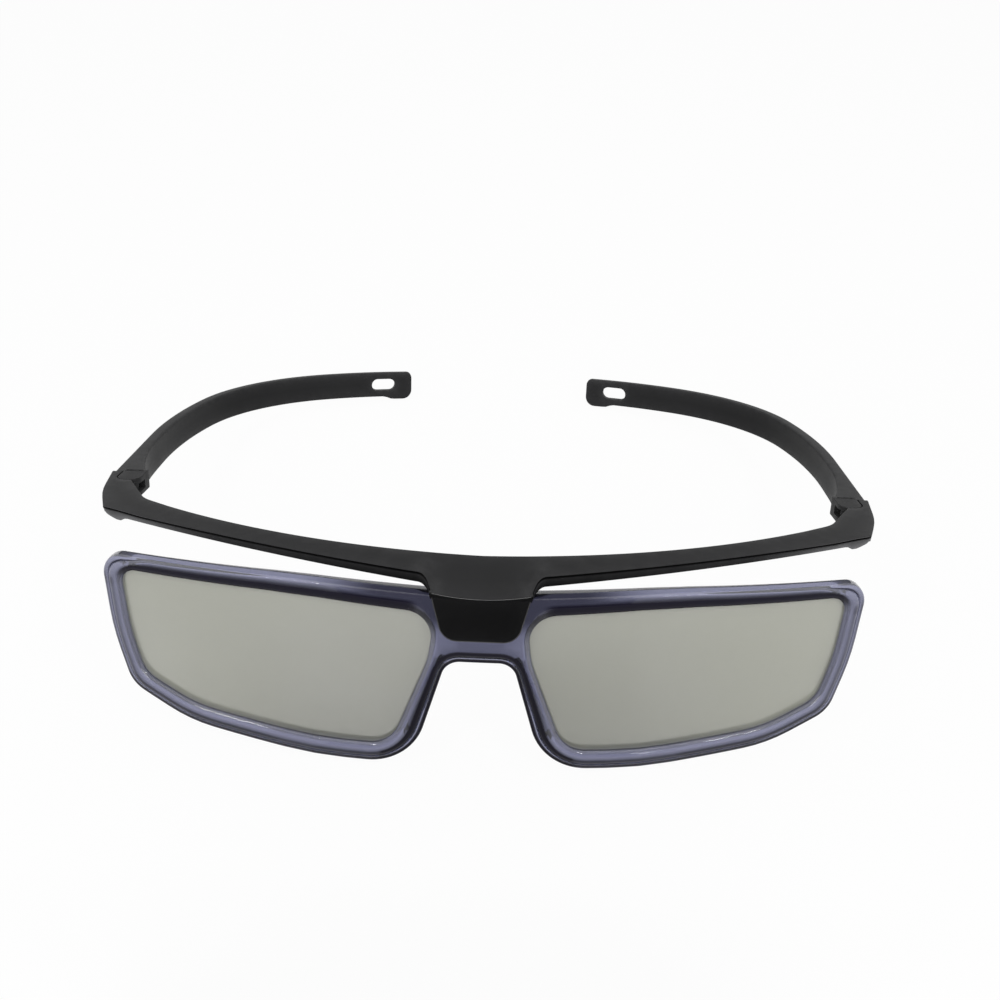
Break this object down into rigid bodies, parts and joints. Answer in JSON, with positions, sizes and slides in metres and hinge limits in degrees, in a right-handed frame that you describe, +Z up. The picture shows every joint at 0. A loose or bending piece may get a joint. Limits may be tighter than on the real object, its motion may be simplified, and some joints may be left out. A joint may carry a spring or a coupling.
{
  "type": "3d glasses",
  "caption": "Passive 3D glasses: grey polarised lenses in a translucent frame hung under a black brow bar, with slim wrap-round arms that fold on pinned hinges.",
  "frame": {"origin": "on the floor under the middle of the bounding box, as the pair stands on its rims and arm tips", "axes": "+X to the wearer's left, +Y from the lenses back along the arms, +Z up"},
  "size_m": [0.1618, 0.1516, 0.0394],
  "materials": {
    "black_plastic": "satin, fine moulded texture",
    "violet_plastic": "translucent, glossy",
    "lens_sheet": "smooth grey polarising sheet",
    "lens_film": "smooth clear film",
    "steel": "turned, bright"
  },
  "bodies": {
    "front": {"brow_bar": "black_plastic", "lens_frame": "violet_plastic", "left_polariser": "lens_sheet", "right_polariser": "lens_sheet", "left_retarder_film": "lens_film", "right_retarder_film": "lens_film", "bridge_screws": "steel"},
    "left_arm": {"left_temple": "black_plastic", "left_hinge_pin": "steel"},
    "right_arm": {"right_temple": "black_plastic", "right_hinge_pin": "steel"}
  },
  "joints": [
    {"name": "left_fold", "type": "hinge", "parent": "front", "child": "left_arm", "pos_m": [0.07498, -0.0282, 0.02999], "axis": [0.0593, 0.2287, 0.9717], "range_deg": [0, 75]},
    {"name": "right_fold", "type": "hinge", "parent": "front", "child": "right_arm", "pos_m": [-0.07498, -0.0282, 0.02999], "axis": [-0.0593, -0.2287, -0.9717], "range_deg": [0, 75]}
  ]
}
